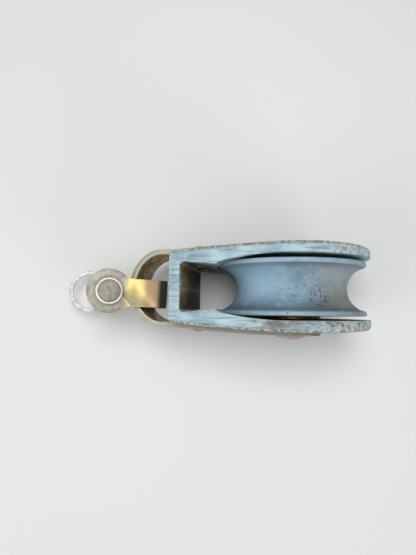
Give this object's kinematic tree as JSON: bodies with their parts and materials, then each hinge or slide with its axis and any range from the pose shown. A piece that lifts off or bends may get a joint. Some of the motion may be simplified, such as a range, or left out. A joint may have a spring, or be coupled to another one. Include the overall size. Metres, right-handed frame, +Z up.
{
  "type": "single sheave rope block",
  "caption": "Wide-groove rope sheave between two cast cheeks, with a riveted bail strap, a strip shackle, its clevis pin and a split ring.",
  "frame": {"origin": "middle of the sheave, on the axle's centre line", "axes": "+Y along the axle, towards the axle screw; -X towards the crown and the shackle; +Z up when the block lies on the straight lower edge of its cheeks"},
  "size_m": [0.1638, 0.0522, 0.08],
  "materials": {
    "casting": "sand-cast alloy, weathered blue-grey",
    "sheave_alloy": "anodised alloy, rope-worn, with dirt in the pits",
    "strap_steel": "stainless strip, tea-stained",
    "steel": "stainless, dull",
    "bronze": "plain bearing bronze"
  },
  "bodies": {
    "frame": {"cheek_upper": "casting", "cheek_lower": "casting", "crown_dowel_front": "steel", "crown_dowel_rear": "steel", "bail_strap": "strap_steel", "strap_rivet_upper_front": "steel", "strap_rivet_upper_rear": "steel", "strap_rivet_lower_front": "steel", "strap_rivet_lower_rear": "steel", "axle_pin": "steel", "axle_screw": "steel"},
    "sheave_body": {"sheave": "sheave_alloy", "sheave_bush": "bronze"},
    "upper_washer": {"thrust_washer_upper": "bronze"},
    "lower_washer": {"thrust_washer_lower": "bronze"},
    "shackle_body": {"shackle": "strap_steel"},
    "pin_body": {"clevis_pin": "steel"},
    "ring_body": {"split_ring": "steel"}
  },
  "joints": [
    {"name": "sheave_spin", "type": "hinge", "parent": "frame", "child": "sheave_body", "pos_m": [0, 0, 0], "axis": [0, 1, 0], "continuous": true},
    {"name": "upper_washer_spin", "type": "hinge", "parent": "frame", "child": "upper_washer", "pos_m": [0, 0.0145, 0], "axis": [0, 1, 0], "continuous": true},
    {"name": "lower_washer_spin", "type": "hinge", "parent": "frame", "child": "lower_washer", "pos_m": [0, -0.0145, 0], "axis": [0, 1, 0], "continuous": true},
    {"name": "shackle_swing", "type": "hinge", "parent": "frame", "child": "shackle_body", "pos_m": [-0.06763, -0.0035, -0.01091], "axis": [-0.1592, 0, 0.9872], "range_deg": [-25, 45]},
    {"name": "clevis_pin_spin", "type": "hinge", "parent": "shackle_body", "child": "pin_body", "pos_m": [-0.0976, -0.002, -0.00906], "axis": [0.188, 0, 0.9822], "continuous": true},
    {"name": "ring_swing", "type": "hinge", "parent": "pin_body", "child": "ring_body", "pos_m": [-0.1017, -0.002, -0.03047], "axis": [0.0514, 0.9986, -0.0098], "range_deg": [-178, 0]}
  ]
}
